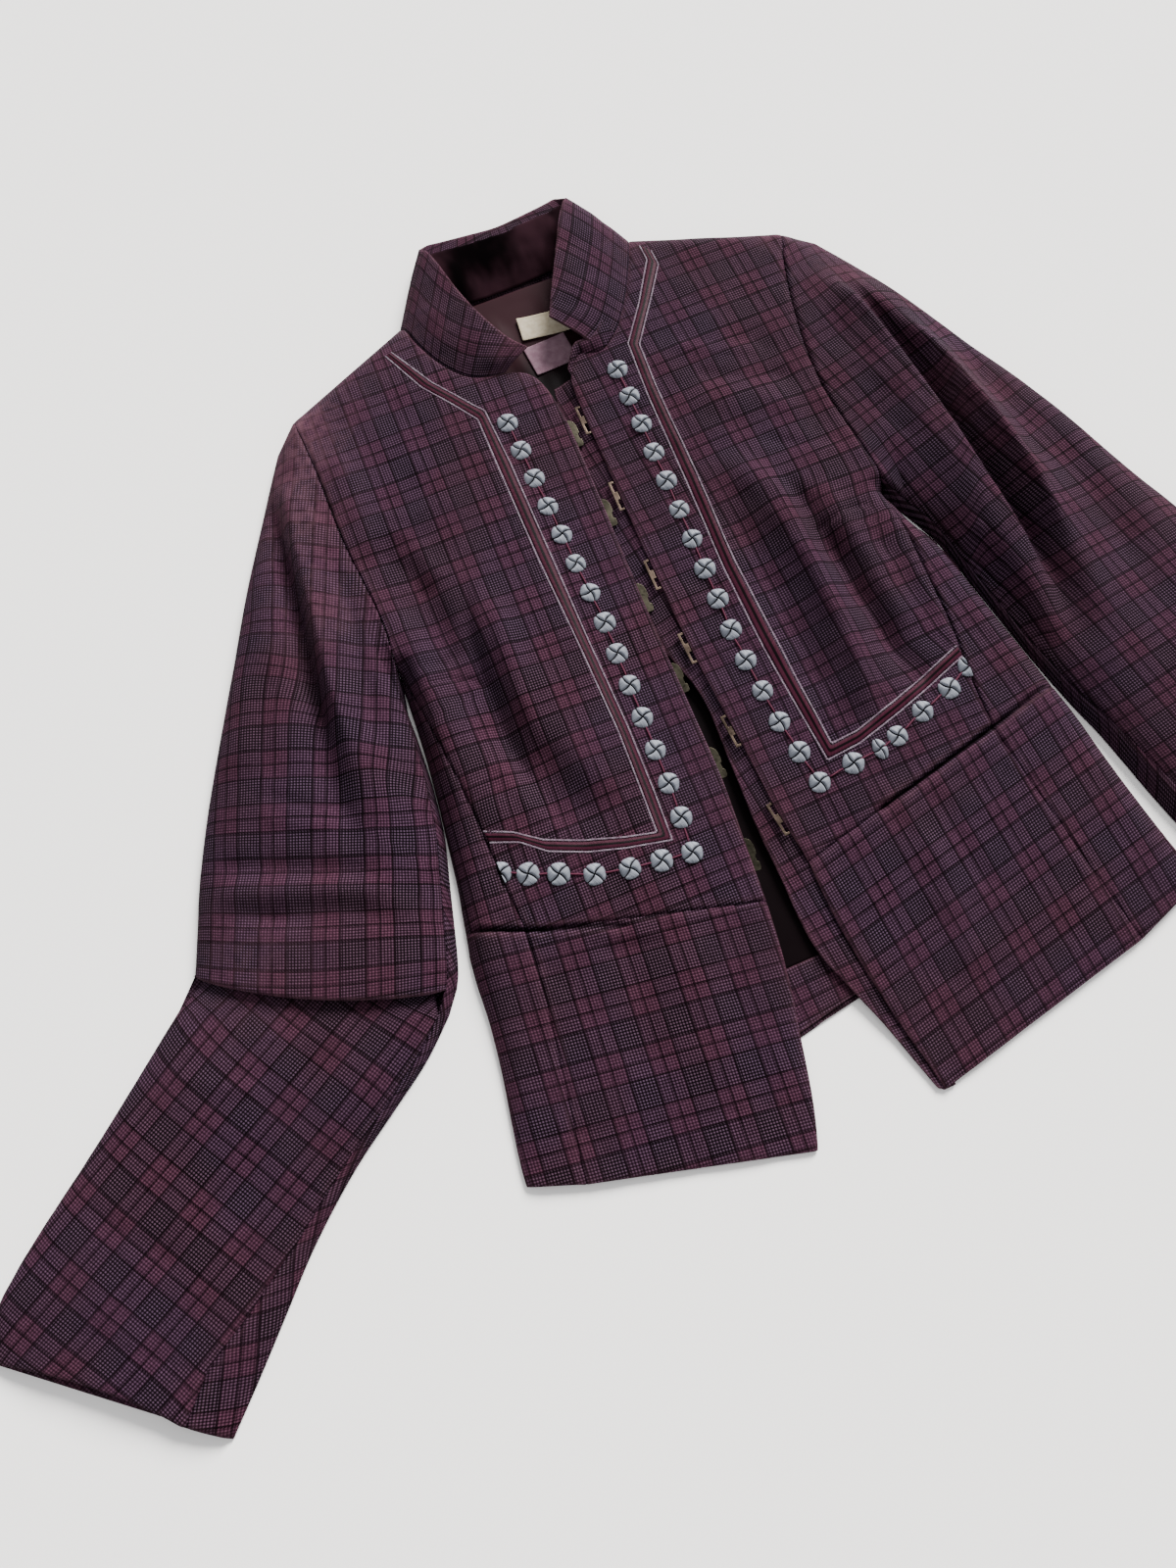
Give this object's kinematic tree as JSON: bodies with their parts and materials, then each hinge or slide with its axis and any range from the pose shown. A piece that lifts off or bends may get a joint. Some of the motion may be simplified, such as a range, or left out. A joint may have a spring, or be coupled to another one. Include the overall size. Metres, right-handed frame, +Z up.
{
  "type": "embroidered jacket",
  "caption": "Short fitted jacket in plum check with stand collar, peplum, embroidered discs down the fronts and hook fastening, laid flat.",
  "frame": {"origin": "middle of the laid-out jacket's bounding box, on the surface it lies on", "axes": "+Z up from the surface, +Y towards the collar, +X towards the wearer's left"},
  "size_m": [0.963, 0.731, 0.0304],
  "materials": {
    "checked_cloth": "plum and aubergine check, matt twill, pale worn edges",
    "satin_lining": "plum satin, soft sheen",
    "velvet": "dark aubergine velvet",
    "label_cream": "blank cream woven label",
    "label_mauve": "blank mauve satin label",
    "silk_thread": "pale blue-grey satin stitch",
    "hook_metal": "antique dark metal with brassy edges",
    "eye_metal": "pale coppery brass"
  },
  "bodies": {
    "root": {"front_right": "checked_cloth", "front_left": "checked_cloth", "side_right": "checked_cloth", "side_left": "checked_cloth", "skirt_front_right": "checked_cloth", "skirt_front_left": "checked_cloth", "skirt_side_right": "checked_cloth", "skirt_side_left": "checked_cloth", "back": "checked_cloth", "back_hem_facing": "checked_cloth", "underlap": "checked_cloth", "collar": "checked_cloth", "sleeve_top_right": "checked_cloth", "sleeve_fore_right": "checked_cloth", "sleeve_under_right": "checked_cloth", "sleeve_top_left": "checked_cloth", "sleeve_under_left": "checked_cloth", "back_lining": "satin_lining", "collar_lining": "velvet", "label_cream": "label_cream", "label_mauve": "label_mauve", "discs_right": "silk_thread", "discs_left": "silk_thread", "hook_1": "hook_metal", "hook_2": "hook_metal", "hook_3": "hook_metal", "hook_4": "hook_metal", "hook_5": "hook_metal", "hook_6": "hook_metal", "eye_1": "eye_metal", "eye_2": "eye_metal", "eye_3": "eye_metal", "eye_4": "eye_metal", "eye_5": "eye_metal", "eye_6": "eye_metal"}
  },
  "joints": []
}
